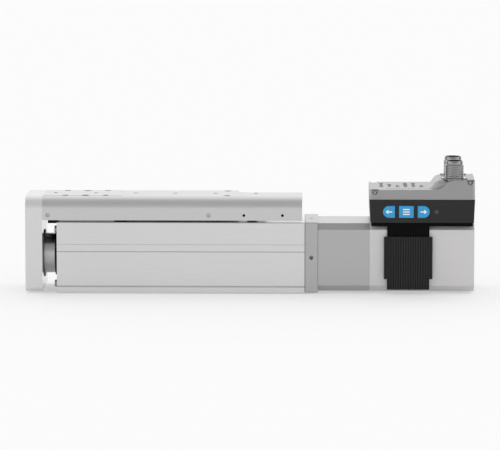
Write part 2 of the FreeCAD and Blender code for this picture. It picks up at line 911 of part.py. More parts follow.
def encoder_magnet():
    return rod_x(shaft_end, shaft_end + magnet_length, magnet_radius)


# Control unit: base plate, black housing, grey cover with a hump under the plugs
def control_base():
    x0 = motor_front + base_inset
    x1 = motor_rear - base_inset
    w = base_half_width
    plate = box(x0, x1, -w, w, motor_top, control_bottom)
    skirts = []
    for y0, y1 in ((-w, -w + base_skirt), (w - base_skirt, w)):
        skirts.append(box(x0, x1, y0, y1, motor_top - base_skirt_drop, motor_top))
    return joined([plate] + skirts)


def drafted_block(inset, z0, z1, half_width):
    """Block whose ends lean out upwards, drawn in side view and pushed across the unit."""
    lean = control_draft / (control_top - control_bottom)
    low = control_draft - lean * (z0 - control_bottom) + inset
    high = control_draft - lean * (z1 - control_bottom) + inset
    points = [V(control_front_x + low, -half_width, z0), V(control_rear_x - low, -half_width, z0),
              V(control_rear_x - high, -half_width, z1), V(control_front_x + high, -half_width, z1)]
    wire = Part.makePolygon(points + points[:1])
    return Part.Face(wire).extrude(V(0, 2 * half_width, 0))


def control_housing():
    shell = drafted_block(0.0, control_bottom, control_top, control_half_width)
    floor = control_bottom + control_wall
    inside = drafted_block(control_wall, floor, control_top, control_half_width - control_wall)
    shell = shell.cut(inside)
    posts = []
    post_y = board_half_width - board_inset
    for x in (board_x0 + 2 * board_inset, board_x1 - 2 * board_inset):
        for side in (-1, 1):
            posts.append(rod_z(floor, board_height, 2 * post_radius, x, side * post_y))
    for x, y, _ in cover_screw_places():
        post = rod_z(floor, control_top, pocket_radius, x, y)
        posts.append(post.common(drafted_block(0.0, floor, control_top, control_half_width)))
    shell = joined([shell] + posts)
    cuts = [key_solid(i, key_side_gap, -control_half_width - key_proud, -control_half_width + control_wall)
            for i in range(3)]
    cuts.append(window_solid(seat_gap))
    for x, y, _ in cover_screw_places():
        cuts.append(rod_z(floor, control_top, cover_screw_radius + seat_gap, x, y))
    return shell.cut(cuts)


def cover_screw_places():
    """Places of the cover's screws, each with the height of its pocket's floor."""
    places = []
    for side in (-1, 1):
        places.append((deck_screw_x, side * deck_screw_y, deck_pocket_floor))
        places.append((hump_screw_x, side * hump_screw_y, hump_pocket_floor))
    return places


def cover_outline(inset, y, crest_x, run):
    """Side view of the cover at one depth: low deck, S-shaped rise up to its crest, and hump."""
    x0 = control_front_x + inset
    x1 = control_rear_x - inset
    low = deck_height - inset
    high = hump_height - inset
    rise = high - low
    start = crest_x - run + inset / 2
    radius = (run ** 2 + rise ** 2) / (4 * rise)
    half_turn = math.atan(rise / run)
    quarter = V(radius * math.sin(half_turn), 0, radius * (1 - math.cos(half_turn)))
    foot = V(start, y, low)
    middle = V(start + run / 2, y, low + rise / 2)
    crest = V(start + run, y, high)
    corner_low = V(x0, y, control_top)
    corner_left = V(x0, y, low)
    corner_right = V(x1, y, high)
    corner_end = V(x1, y, control_top)
    return Part.Wire([
        Part.makeLine(corner_low, corner_left),
        Part.makeLine(corner_left, foot),
        Part.Arc(foot, foot + quarter, middle).toShape(),
        Part.Arc(middle, crest - quarter, crest).toShape(),
        Part.makeLine(crest, corner_right),
        Part.makeLine(corner_right, corner_end),
        Part.makeLine(corner_end, corner_low),
    ])


def cover_sides(inset):
    """The long side view pushed across the unit, with its long sides leaning in upwards."""
    outline = cover_outline(inset, -control_half_width, hump_end_x, hump_run)
    block = Part.Face(outline).extrude(V(0, 2 * control_half_width, 0))
    slope = cover_lean / (deck_height - control_top)
    low = cover_side_half - inset
    high = low - slope * (hump_height - control_top)
    sides = [(-low, control_top), (low, control_top), (high, hump_height), (-high, hump_height)]
    return block.common(prism_x(sides, control_front_x, control_rear_x))


def plug_platform(inset):
    """The steeper middle of the hump that carries the plugs."""
    half = platform_half - inset
    outline = cover_outline(inset, -half, platform_end_x, platform_run)
    return Part.Face(outline).extrude(V(0, 2 * half, 0))


def upright_corners(shape):
    """The four leaning edges at the corners of the unit."""
    middle_x = (control_front_x + control_rear_x) / 2
    half = (control_rear_x - control_front_x) / 2
    found = []
    for edge in shape.Edges:
        ends = edge.Vertexes
        at_end = all(abs(abs(v.Point.x - middle_x) - half) < 0.01 for v in ends)
        if at_end and abs(ends[0].Point.z - ends[1].Point.z) > 1.0:
            found.append(edge)
    return found


def platform_edges(shape):
    """The edges along the rise and the top of the platform, on both sides of it."""
    found = []
    for edge in shape.Edges:
        low = min(v.Point.z for v in edge.Vertexes)
        across = abs(edge.Vertexes[0].Point.y - edge.Vertexes[1].Point.y) > 0.01
        if low > deck_height - 0.01 and not across:
            found.append(edge)
    return found


def control_cover():
    sides = cover_sides(0.0)
    sides = sides.makeFillet(cover_corner, upright_corners(sides))
    platform = plug_platform(0.0)
    platform = platform.makeFillet(platform_round, platform_edges(platform))
    outer = joined([sides, platform])
    parts = [outer.cut(joined([cover_sides(cover_wall), plug_platform(cover_wall)]))]
    for x, y, _ in cover_screw_places():
        post = rod_z(control_top, hump_height, pocket_radius + pocket_wall, x, y)
        parts.append(post.common(outer))
    shell = joined(parts)
    cuts = []
    for x, y, floor in cover_screw_places():
        cuts.append(rod_z(floor, hump_height, pocket_radius, x, y))
        cuts.append(rod_z(control_top, hump_height, cover_screw_radius + seat_gap, x, y))
    for side in (-1, 1):
        cuts.append(rod_z(control_top, hump_height, plug_neck_radius + seat_gap, plug_x,
                          side * plug_half_pitch))
    return shell.cut(cuts)


def cover_screws():
    screws = []
    for x, y, floor in cover_screw_places():
        head = rod_z(floor, floor + cover_head_height, cover_head_radius, x, y)
        shank = rod_z(control_top - cover_screw_length, floor, cover_screw_radius, x, y)
        screws.append(joined([head, shank]))
    return group(screws)


def circuit_board():
    top = board_height + board_thickness
    board = box(board_x0, board_x1, -board_half_width, board_half_width, board_height, top)
    posts = [rod_z(board_height, top, pocket_radius + free_gap, x, y) for x, y, _ in cover_screw_places()]
    return board.cut(posts)


def board_components():
    z0 = board_height + board_thickness
    x = board_x0 + capacitor_inset
    parts = [rod_z(z0, z0 + capacitor_height, capacitor_radius, x, side * capacitor_half_pitch)
             for side in (-1, 1)]
    chip_x = x + chip_offset
    half = chip_width / 2
    parts.append(box(chip_x, chip_x + chip_width, -half, half, z0, z0 + chip_height))
    return group(parts)


# Keys: two with a round outer end, one plain in between
def key_span(i):
    widths = [key_end_width, key_middle_width, key_end_width]
    x0 = control_front_x + key_first + sum(widths[:i]) + key_gap * i
    return x0, x0 + widths[i]


def key_solid(i, grow, y0, y1):
    """Key body between two depths, grown all round by the given amount."""
    x0, x1 = key_span(i)
    half = key_height / 2
    z0 = key_middle_z - half - grow
    z1 = key_middle_z + half + grow
    if i == 1:
        return box(x0 - grow, x1 + grow, y0, y1, z0, z1)
    round_x = x0 + half if i == 0 else x1 - half
    end = rod_y(y0, y1, half + grow, round_x, key_middle_z)
    flat = box(round_x, x1 + grow, y0, y1, z0, z1) if i == 0 else box(x0 - grow, round_x, y0, y1, z0, z1)
    return joined([end, flat])


def key(i):
    face = -control_half_width - key_proud
    back = -control_half_width + control_wall + seat_gap
    cap = key_solid(i, 0.0, face, back)
    flange = key_solid(i, key_flange, back, back + key_flange_thickness)
    return joined([cap, flange])


def key_board():
    front = -control_half_width + control_wall + seat_gap + key_flange_thickness + key_travel + key_rest_gap
    x0, _ = key_span(0)
    _, x1 = key_span(2)
    return box(x0 - key_flange, x1 + key_flange, front, front + key_board_thickness,
               control_bottom + control_wall, key_middle_z + key_height / 2 + key_flange)


def window_solid(grow):
    x0 = control_front_x + window_offset - grow
    half = window_height / 2 + grow
    return box(x0, x0 + window_width + 2 * grow, -control_half_width - grow,
               -control_half_width + control_wall, key_middle_z - half, key_middle_z + half)


def status_window():
    return window_solid(0.0)


# Round plugs: shell with a smooth collar, insert and pins
def plug_shells():
    shells = []
    for side in (-1, 1):
        y = side * plug_half_pitch
        top = hump_height + plug_height
        seat = hump_height + plug_hex_height
        neck = rod_z(hump_height - plug_depth, seat, plug_neck_radius, plug_x, y)
        body = rod_z(seat, top - plug_collar_height, plug_radius, plug_x, y)
        collar = rod_z(top - plug_collar_height, top, plug_collar_radius, plug_x, y)
        bore = rod_z(hump_height - plug_depth, top, plug_bore_radius, plug_x, y)
        shells.append(joined([neck, body, collar]).cut(bore))
    return group(shells)


def plug_nuts():
    """Flat hexagons on the hump, with two corners along the unit."""
    top = hump_height + plug_hex_height
    reach = plug_hex_across / 2 / math.cos(math.pi / 6)
    nuts = []
    for side in (-1, 1):
        y = side * plug_half_pitch
        centre = V(plug_x, y, hump_height)
        turns = [math.pi * i / 3 for i in range(7)]
        points = [centre + V(reach * math.cos(turn), reach * math.sin(turn), 0) for turn in turns]
        plate = Part.Face(Part.makePolygon(points)).extrude(V(0, 0, plug_hex_height))
        nuts.append(plate.cut(rod_z(hump_height, top, plug_neck_radius, plug_x, y)))
    return group(nuts)


def plug_inserts():
    z0 = hump_height - plug_depth
    return group([rod_z(z0, z0 + plug_depth + insert_height, plug_bore_radius, plug_x, side * plug_half_pitch)
                  .cut(pin_holes(side)) for side in (-1, 1)])


def pin_places(side):
    places = []
    for i in range(pin_count):
        a = math.pi / 4 + 2 * math.pi * i / pin_count
        places.append((plug_x + pin_circle * math.cos(a), side * plug_half_pitch + pin_circle * math.sin(a)))
    return places


def pin_holes(side):
    z0 = hump_height - plug_depth
    return [rod_z(z0, hump_height + insert_height, pin_radius, x, y) for x, y in pin_places(side)]


def plug_pins():
    z0 = hump_height - plug_depth
    z1 = hump_height + insert_height + pin_height
    return group([rod_z(z0, z1, pin_radius, x, y) for side in (-1, 1) for x, y in pin_places(side)])


# Wiring cover and its ribbed cap on the motor's front
def wiring_cover():
    half = strap_width / 2
    return box(strap_middle_x - half, strap_middle_x + half, -half_square - strap_thickness, -half_square,
               strap_bottom, strap_top)


def ribbed_cap():
    """Broad upper plate and narrower tail, with upright ribs all over the front."""
    half = cap_width / 2
    tail_half = strap_width / 2
    back = -half_square - strap_thickness
    front = back - cap_thickness
    plate = box(strap_middle_x - half, strap_middle_x + half, front, back, cap_bottom, cap_top)
    tail = box(strap_middle_x - tail_half, strap_middle_x + tail_half, front, back, strap_bottom, cap_bottom)
    count = int(cap_width / rib_pitch)
    first = strap_middle_x - rib_pitch * (count - 1) / 2
    grooves = []
    for i in range(count):
        x = first + rib_pitch * i
        corner_left = V(x - rib_depth, front, strap_bottom)
        corner_right = V(x + rib_depth, front, strap_bottom)
        corner_deep = V(x, front + rib_depth, strap_bottom)
        groove = Part.makePolygon([corner_left, corner_right, corner_deep, corner_left])
        grooves.append(Part.Face(groove).extrude(V(0, 0, cap_top - strap_bottom)))
    return joined([plate, tail]).cut(grooves)


pieces = [housing_profile, rod_guide_bush, rod_wiper_ring, front_screws, guide_carriage, carriage_end_caps,
          carriage_screws, slide_table, yoke_plate, yoke_screws, rod_screw, side_plugs, guide_rail,
          rail_screws, stop_block, piston_rod, rod_buffer_ring, ball_nut, drive_flange, flange_set_screws,
          flange_screws,
          bearing_outer_rings, bearing_inner_rings, spindle, lock_nut, coupling_hub_spindle,
          coupling_hub_motor, coupling_spider, coupling_housing, motor_housing, motor_screws,
          motor_front_shield, motor_rear_shield, encoder_board, motor_bearings, stator_core, stator_coils,
          rotor, motor_shaft, encoder_magnet, control_base, control_housing, control_cover, cover_screws,
          circuit_board, board_components, key_board, status_window, plug_shells, plug_nuts,
          plug_inserts, plug_pins, wiring_cover, ribbed_cap]
for piece in pieces:
    save(piece.__name__, piece())
for index, name in enumerate(["key_left", "key_middle", "key_right"]):
    save(name, key(index))
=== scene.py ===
import bmesh
import bpy
import math
from mathutils import Matrix, Vector


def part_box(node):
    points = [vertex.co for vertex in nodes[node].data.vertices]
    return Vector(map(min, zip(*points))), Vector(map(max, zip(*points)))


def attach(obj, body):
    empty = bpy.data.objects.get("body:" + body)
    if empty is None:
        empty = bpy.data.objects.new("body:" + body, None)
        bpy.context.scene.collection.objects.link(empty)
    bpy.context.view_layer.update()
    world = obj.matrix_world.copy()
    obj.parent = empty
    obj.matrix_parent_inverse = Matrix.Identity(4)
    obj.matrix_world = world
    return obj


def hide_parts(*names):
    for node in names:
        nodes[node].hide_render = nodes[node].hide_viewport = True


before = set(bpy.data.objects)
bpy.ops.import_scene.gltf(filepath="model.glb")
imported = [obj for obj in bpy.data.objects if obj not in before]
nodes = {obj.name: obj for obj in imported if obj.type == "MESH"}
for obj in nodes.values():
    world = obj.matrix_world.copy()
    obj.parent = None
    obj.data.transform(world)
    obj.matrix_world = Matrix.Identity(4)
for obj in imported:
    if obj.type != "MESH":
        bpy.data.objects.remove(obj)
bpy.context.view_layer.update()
MM = 0.001

# Camera, fitted to the photograph's 500 by 450 frame
frame_width_px = 500
focal_px = 3704.0
sensor_mm = 36.0
camera_place = Vector((0.0854, -2.300, 0.3348))
camera_pitch = math.radians(82.7)
camera_yaw = math.radians(1.064)
camera_reach = 100.0

# Floor, in metres, and the share of it that is plain white to the camera and in reflections
floor_half = 8.0
floor_drop = 0.0002
floor_greys = (0.975, 0.985)
floor_grain = 60.0
floor_rough = 0.9
white_share = 0.42

# Studio: its level, a darker patch high up in front, and darker low sides a little behind
studio_level = 1.32
patch_level = 0.56
patch_direction = (0.0, -0.53, 0.848)
patch_window = (0.50, 0.90)
sides_share = 0.15
sides_outer = (0.10, 0.66)
sides_inner = (0.24, 0.48)
sides_top = (0.25, 0.60)

# Values that the materials share; all lengths from here on are in millimetres
grain_detail = 4.0
grain_window = (0.3, 0.7)
gloss_change = 0.12
relief_depth = 0.02
edge_samples = 4
plain_edge = 0.2
cast_edge = 0.35
print_edge = 0.005
plain_sheen = 0.5
yoke_rough = 0.44
yoke_end_rough = 0.10
end_window = (0.6, 0.9)
smooth_angle = 35.0

# Directions of grain: lines along an axis, rings round X, layers across X, or none
along_x = (0.02, 1.0, 1.0)
along_y = (1.0, 0.02, 1.0)
round_x = (1.0, 0.05, 0.05)
across_x = (1.0, 0.02, 0.02)
even = (1.0, 1.0, 1.0)

# Socket screws: head radius, head height, shank radius and width of the socket
cover_screw = (1.9, 2.0, 1.25, 2.0)
front_screw = (2.2, 1.6, 1.25, 2.0)
motor_screw = (2.8, 2.6, 1.5, 2.5)
yoke_screw = (2.1, 2.5, 1.25, 2.0)
rod_screw = (6.4, 5.4, 4.0, 6.0)
set_screw = (1.2, 2.0, 1.0, 1.3)
set_screw_length = 4.8
cover_screw_drop = 5.75
cover_screw_inset = 2.2
yoke_screw_places = [-5.0, -14.0, 5.0, 14.0]
axis_height = 22.5
screw_segments = 36
head_edge_share = 0.12
socket_lip_share = 0.64
socket_mouth_share = 0.04
socket_depth_share = 0.55

# Round plugs with a neck, a fine thread and a grooved collar
plug_segments = 48
plug_smooth_angle = 50.0
plug_radius = 5.9
plug_edge = 0.15
plug_shoulder = 0.2
bore_radius = 4.7
neck_radius = 5.4
neck_length = 7.8
thread_pitch = 1.0
thread_depth = 0.20
thread_run = 7.6
thread_top_gap = 0.25
thread_steps = 12
thread_fade_steps = 6
collar_radius = 5.3
collar_length = 2.5
collar_edge = 0.3
groove_depth = 0.35
groove_height = 0.35
groove_end = 0.45

# Keys and their symbols
key_flange = 0.8
key_edge = 0.35
key_edge_segments = 4
key_face_drop = 0.04
key_arc_steps = 14
symbol_depth = 0.1
symbol_line = 0.64
arrow_reach = 2.0
arrow_head_run = 1.45
arrow_head_lift = 1.25
menu_bar_length = 4.2
menu_bar_pitch = 1.5

# Printed marks on the deck; the widths of the bars are listed column by column
deck_rise = 5.8
print_height = 0.03
level_pitch = 5.0
level_first = 7.6
level_bar_pitch = 2.7
level_bar_length = 1.9
level_front = -5.5
level_widths = [
    [2.3, 2.3, 2.3, 1.4, 1.4, 2.3, 2.3, 2.3],
    [1.0, 1.5, 2.0, 2.4, 2.4, 1.6],
    [2.6, 2.2, 1.5, 0.9],
    [2.3, 2.3, 2.3, 2.3, 2.3, 2.3, 2.3, 2.3],
    [2.3, 1.3, 2.3, 2.3, 1.3, 2.3, 2.3, 2.3],
    [2.7, 2.3, 1.6, 1.0],
]
dash_offset = 3.5
dash_pitch = 1.9
dash_count = 13
dash_length = 1.1
dash_depth = 1.8
dash_front = -16.4

# Painted shade: black sleeves inside the open holes in the table's side, standing for the shade in them
side_hole_radius = 0.85
side_hole_rise = 3.2
side_holes_from_end = [36.1, 12.2]
shade_sleeve_wall = 0.15
shade_sleeve_depth = 2.6
shade_sleeve_play = 0.01
shade_sleeve_sink = 0.05
shade_sleeve_floor_share = 0.9
shade_sleeve_segments = 24


# Small node helpers
def grey(level):
    return (level, level, level)


def new_material(name):
    material = bpy.data.materials.new(name)
    material.use_nodes = True
    return material, material.node_tree, material.node_tree.nodes["Principled BSDF"]


def object_noise(tree, scale, stretch):
    """Noise in the piece's own metres, stretched along the axes."""
    place = tree.nodes.new("ShaderNodeTexCoord")
    mapping = tree.nodes.new("ShaderNodeMapping")
    mapping.inputs["Scale"].default_value = stretch
    noise = tree.nodes.new("ShaderNodeTexNoise")
    noise.inputs["Scale"].default_value = scale
    noise.inputs["Detail"].default_value = grain_detail
    tree.links.new(place.outputs["Object"], mapping.inputs["Vector"])
    tree.links.new(mapping.outputs["Vector"], noise.inputs["Vector"])
    return noise.outputs["Fac"]


def grain_colour(tree, grain, low, high):
    """Colour that goes from low to high with the grain."""
    node = tree.nodes.new("ShaderNodeValToRGB")
    for element, position, colour in zip(node.color_ramp.elements, grain_window, (low, high)):
        element.position = position
        element.color = (*colour, 1.0)
    tree.links.new(grain, node.inputs["Fac"])
    return node.outputs["Color"]


def spread(tree, value, window, low, high, kind="LINEAR"):
    """Number that goes from low to high while the value crosses the window."""
    node = tree.nodes.new("ShaderNodeMapRange")
    node.interpolation_type = kind
    node.inputs["From Min"].default_value = window[0]
    node.inputs["From Max"].default_value = window[1]
    node.inputs["To Min"].default_value = low
    node.inputs["To Max"].default_value = high
    tree.links.new(value, node.inputs["Value"])
    return node.outputs["Result"]


def combined(tree, operation, first, second):
    """Sum or product of two sockets."""
    node = tree.nodes.new("ShaderNodeMath")
    node.operation = operation
    tree.links.new(first, node.inputs[0])
    tree.links.new(second, node.inputs[1])
    return node.outputs["Value"]


def rounded_normal(tree, shader, height, strength, edge):
    """Fine relief on the faces and soft rounding at the edges."""
    bevel = tree.nodes.new("ShaderNodeBevel")
    bevel.samples = edge_samples
    bevel.inputs["Radius"].default_value = edge * MM
    bump = tree.nodes.new("ShaderNodeBump")
    bump.inputs["Strength"].default_value = strength
    bump.inputs["Distance"].default_value = relief_depth * MM
    tree.links.new(height, bump.inputs["Height"])
    tree.links.new(bevel.outputs["Normal"], bump.inputs["Normal"])
    tree.links.new(bump.outputs["Normal"], shader.inputs["Normal"])


def surface(name, colour, change, rough, metal, scale, stretch, relief, edge=plain_edge, sheen=plain_sheen):
    """A material whose colour, gloss and relief all follow one noise; sheen is its mirror share."""
    material, tree, shader = new_material(name)
    grain = object_noise(tree, scale, stretch)
    low = [c * (1.0 - change) for c in colour]
    high = [min(1.0, c * (1.0 + change)) for c in colour]
    gloss = spread(tree, grain, grain_window, rough * (1.0 - gloss_change), rough * (1.0 + gloss_change))
    tree.links.new(grain_colour(tree, grain, low, high), shader.inputs["Base Color"])
    tree.links.new(gloss, shader.inputs["Roughness"])
    shader.inputs["Metallic"].default_value = metal
    shader.inputs["Specular IOR Level"].default_value = sheen
    rounded_normal(tree, shader, grain, relief, edge)
    return material


def smoother_ends(material, rough, smooth):
    """Lower roughness on the faces that look along the stroke."""
    tree = material.node_tree
    face = tree.nodes.new("ShaderNodeNewGeometry")
    size = tree.nodes.new("ShaderNodeVectorMath")
    size.operation = "ABSOLUTE"
    parts = tree.nodes.new("ShaderNodeSeparateXYZ")
    tree.links.new(face.outputs["Normal"], size.inputs[0])
    tree.links.new(size.outputs["Vector"], parts.inputs["Vector"])
    gloss = spread(tree, parts.outputs["X"], end_window, rough, smooth)
    tree.links.new(gloss, tree.nodes["Principled BSDF"].inputs["Roughness"])


def paint(material, *names):
    for name in names:
        nodes[name].data.materials.clear()
        nodes[name].data.materials.append(material)


# Materials: colour and its change, roughness, metal share, scale and direction of the grain, relief
profile_aluminium = surface("profile_aluminium", grey(0.64), 0.03, 0.36, 1.0, 2600.0, along_x, 0.12)
table_aluminium = surface("table_aluminium", grey(0.575), 0.03, 0.44, 1.0, 2200.0, along_x, 0.10)
yoke_aluminium = surface("yoke_aluminium", grey(0.68), 0.03, yoke_rough, 0.6, 2600.0, along_y, 0.12)
smoother_ends(yoke_aluminium, yoke_rough, yoke_end_rough)
flange_aluminium = surface("flange_aluminium", grey(0.42), 0.04, 0.38, 1.0, 2600.0, along_y, 0.12)
coupling_aluminium = surface("coupling_aluminium", grey(0.425), 0.03, 0.36, 1.0, 2600.0, along_x, 0.12)
motor_aluminium = surface("motor_aluminium", (0.622, 0.610, 0.615), 0.03, 0.46, 0.4, 2600.0, along_x, 0.10,
                          edge=cast_edge)
cover_casting = surface("cover_casting", grey(0.38), 0.04, 0.42, 0.6, 5200.0, even, 0.25, edge=cast_edge)
panel_plastic = surface("panel_plastic", (0.0152, 0.0147, 0.015), 0.12, 0.45, 0.0, 5200.0, even, 0.20,
                        sheen=0.28)
black_plastic = surface("black_plastic", (0.0032, 0.003, 0.003), 0.20, 0.60, 0.0, 4200.0, even, 0.25,
                        sheen=0.06)
cap_rubber = surface("cap_rubber", (0.015, 0.014, 0.014), 0.20, 0.55, 0.0, 4200.0, even, 0.20, sheen=0.35)
seal_rubber = surface("seal_rubber", grey(0.012), 0.20, 0.62, 0.0, 5200.0, even, 0.30, sheen=0.20)
# Dark grey on the rod's buffer ring is painted shade for the dark band where the rod meets the yoke
buffer_ring_painted_shade = surface("buffer_ring_painted_shade", grey(0.14), 0.10, 0.50, 0.0, 5200.0, even, 0.20)
key_plastic = surface("key_plastic", (0.018, 0.318, 0.635), 0.05, 0.35, 0.0, 3800.0, even, 0.10)
symbol_print = surface("symbol_print", grey(0.95), 0.03, 0.50, 0.0, 6000.0, even, 0.05, edge=print_edge)
dark_print = surface("dark_print", grey(0.03), 0.15, 0.55, 0.0, 6000.0, even, 0.05, edge=print_edge)
pale_print = surface("pale_print", grey(0.10), 0.08, 0.50, 0.0, 6000.0, even, 0.05, edge=print_edge)
# Black for the painted shade inside the open holes in the table's side
painted_hole_shade = surface("painted_hole_shade", grey(0.006), 0.15, 0.70, 0.0, 6000.0, even, 0.20, sheen=0.05)
window_plastic = surface("window_plastic", grey(0.045), 0.08, 0.22, 0.0, 3000.0, even, 0.05)
plug_nickel = surface("plug_nickel", grey(0.27), 0.05, 0.14, 1.0, 3000.0, even, 0.06)
rod_chrome = surface("rod_chrome", grey(0.45), 0.02, 0.33, 1.0, 3600.0, round_x, 0.05)
guide_steel = surface("guide_steel", grey(0.40), 0.05, 0.30, 1.0, 3000.0, along_x, 0.10)
screw_steel = surface("screw_steel", grey(0.30), 0.08, 0.34, 1.0, 4200.0, even, 0.12)
dark_steel = surface("dark_steel", grey(0.09), 0.15, 0.40, 1.0, 4200.0, even, 0.12)
bush_bronze = surface("bush_bronze", (0.42, 0.30, 0.16), 0.06, 0.40, 1.0, 3000.0, even, 0.15)
core_steel = surface("core_steel", grey(0.22), 0.10, 0.45, 1.0, 2600.0, across_x, 0.30)
coil_copper = surface("coil_copper", (0.62, 0.24, 0.10), 0.15, 0.35, 1.0, 2600.0, along_x, 0.60)
board_green = surface("board_green", (0.02, 0.16, 0.06), 0.20, 0.45, 0.0, 1400.0, even, 0.20)
chip_black = surface("chip_black", grey(0.03), 0.15, 0.50, 0.0, 4000.0, even, 0.20)
spider_plastic = surface("spider_plastic", (0.55, 0.08, 0.04), 0.08, 0.50, 0.0, 3000.0, even, 0.15)
pin_gold = surface("pin_gold", (0.80, 0.56, 0.22), 0.05, 0.25, 1.0, 4200.0, even, 0.05)

# Materials of the solids that no piece below replaces
paint(profile_aluminium, "housing_profile")
paint(table_aluminium, "slide_table")
paint(yoke_aluminium, "yoke_plate")
paint(flange_aluminium, "drive_flange")
paint(coupling_aluminium, "coupling_housing", "coupling_hub_spindle", "coupling_hub_motor",
      "motor_front_shield", "motor_rear_shield")
paint(motor_aluminium, "motor_housing")
paint(cover_casting, "control_cover")
paint(panel_plastic, "control_housing")
paint(black_plastic, "control_base", "wiring_cover", "carriage_end_caps", "stop_block", "plug_inserts")
paint(cap_rubber, "ribbed_cap")
paint(seal_rubber, "rod_wiper_ring")
# The buffer ring gets the dark grey of painted shade
paint(buffer_ring_painted_shade, "rod_buffer_ring")
paint(plug_nickel, "plug_nuts")
paint(window_plastic, "status_window")
paint(rod_chrome, "piston_rod")
paint(guide_steel, "side_plugs", "guide_rail", "guide_carriage", "spindle", "ball_nut", "lock_nut",
      "motor_shaft", "bearing_outer_rings", "bearing_inner_rings", "motor_bearings")
paint(screw_steel, "carriage_screws", "flange_screws")
paint(dark_steel, "rail_screws")
paint(bush_bronze, "rod_guide_bush")
paint(core_steel, "stator_core", "rotor", "encoder_magnet")
paint(coil_copper, "stator_coils")
paint(board_green, "circuit_board", "key_board", "encoder_board")
paint(chip_black, "board_components")
paint(spider_plastic, "coupling_spider")
paint(pin_gold, "plug_pins")


# Mesh helpers
def new_mesh(name, mesh_data, material):
    """Turns mesh data into a mesh with one material."""
    mesh = bpy.data.meshes.new(name)
    mesh_data.normal_update()
    mesh_data.to_mesh(mesh)
    mesh_data.free()
    mesh.materials.append(material)
    return mesh


def new_object(name, data):
    made = bpy.data.objects.new(name, data)
    bpy.context.scene.collection.objects.link(made)
    return made


def finished(name, mesh_data, material, body):
    """A piece with one material that rides on a body."""
    piece = new_object(name, new_mesh(name, mesh_data, material))
    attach(piece, body)
    return piece


def smooth_by_angle(piece, degrees=smooth_angle):
    for polygon in piece.data.polygons:
        polygon.use_smooth = True
    piece.data.set_sharp_from_angle(angle=math.radians(degrees))


def facing(direction, place):
    """Frame at a place whose upward axis points in the given direction."""
    turn = Vector(direction).to_track_quat("Z", "Y").to_matrix().to_4x4()
    return Matrix.Translation(place) @ turn


def ring_of_points(mesh, points):
    return [mesh.verts.new(p) for p in points]


def bridge(mesh, first, second):
    """Faces between two rings of as many points."""
    count = len(first)
    for i in range(count):
        j = (i + 1) % count
        mesh.faces.new((first[i], first[j], second[j], second[i]))


def turns_round(segments):
    return [2 * math.pi * i / segments for i in range(segments)]


def round_point(radius, turn, height):
    return Vector((radius * math.cos(turn), radius * math.sin(turn), height))


def turned(mesh, profile, place, segments):
    """Rings of (radius, height) about an upright axis, joined in order and left open at both ends."""
    rings = []
    for radius, height in profile:
        points = [place @ round_point(radius, turn, height) for turn in turns_round(segments)]
        rings.append(ring_of_points(mesh, points))
    for first, second in zip(rings, rings[1:]):
        bridge(mesh, first, second)
    return rings


def plate(mesh, first_points, second_points):
    """Closed plate between two equal outlines."""
    first = ring_of_points(mesh, first_points)
    second = ring_of_points(mesh, second_points)
    mesh.faces.new(first)
    mesh.faces.new(list(reversed(second)))
    bridge(mesh, first, second)
    bmesh.ops.recalc_face_normals(mesh, faces=mesh.faces)


def plate_facing_front(mesh, outline, front, back):
    """Plate with an outline in X and Z between two depths."""
    plate(mesh, [(x, front, z) for x, z in outline], [(x, back, z) for x, z in outline])


def plate_lying_flat(mesh, outline, top, bottom):
    """Plate with an outline in X and Y between two heights."""
    plate(mesh, [(x, y, top) for x, y in outline], [(x, y, bottom) for x, y in outline])


def bar_outline(x, width, start, length):
    """Rectangle of a width about x, from a start over a length."""
    left = x - width / 2
    right = x + width / 2
    return [(left, start), (right, start), (right, start + length), (left, start + length)]


# Screws with hexagon sockets, set where the solids have theirs
def hexagon(across, height, place):
    """Points along a hexagon's sides, one for each segment of the round ring outside."""
    points = []
    for turn in turns_round(screw_segments):
        side = (turn + math.pi / 6) % (math.pi / 3) - math.pi / 6
        points.append(place @ round_point(across / 2 / math.cos(side), turn, height))
    return points


def socket_screw(mesh, place, screw, length):
    """Screw of a whole length; the top of its head is at height zero and its shank points down."""
    head_radius, head_height, shank_radius, across = [size * MM for size in screw]
    edge = head_edge_share * head_radius
    bottom = -socket_depth_share * head_height
    profile = [(shank_radius, -length), (shank_radius, -head_height), (head_radius, -head_height),
               (head_radius, -edge), (head_radius - edge, 0.0), (socket_lip_share * across, 0.0)]
    rings = turned(mesh, profile, place, screw_segments)
    mesh.faces.new(list(reversed(rings[0])))
    mouth = ring_of_points(mesh, hexagon(across, -socket_mouth_share * head_radius, place))
    floor = ring_of_points(mesh, hexagon(across, bottom, place))
    bridge(mesh, rings[-1], mouth)
    bridge(mesh, mouth, floor)
    centre = mesh.verts.new(place @ Vector((0.0, 0.0, bottom)))
    for first, second in zip(floor, floor[1:] + floor[:1]):
        mesh.faces.new((first, second, centre))


def screw_piece(name, node, body, screw, seats, material=screw_steel):
    """One piece for a node's screws. A seat is the frame at the top of a head and that screw's length."""
    mesh = bmesh.new()
    for place, length in seats:
        socket_screw(mesh, place, screw, length)
    piece = finished(name, mesh, material, body)
    smooth_by_angle(piece)
    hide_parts(node)


def cover_seats():
    """A low pair of screws at the deck's end and a high pair, nearer together, by the plugs."""
    low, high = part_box("cover_screws")
    head = cover_screw[0] * MM
    low_pair = (low.x + head, high.y - head, high.z - cover_screw_drop * MM)
    high_pair = (high.x - head, high.y - head - cover_screw_inset * MM, high.z)
    return [(facing((0, 0, 1), Vector((x, side * y, top))), top - low.z)
            for side in (-1, 1) for x, y, top in (low_pair, high_pair)]


def corner_seats(node, screw, way):
    """Seats in the four corners of a node's box, on its end that way along X."""
    low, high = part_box(node)
    head = screw[0] * MM
    x = high.x if way > 0 else low.x
    return [(facing((way, 0, 0), Vector((x, y, z))), high.x - low.x)
            for y in (low.y + head, high.y - head) for z in (low.z + head, high.z - head)]


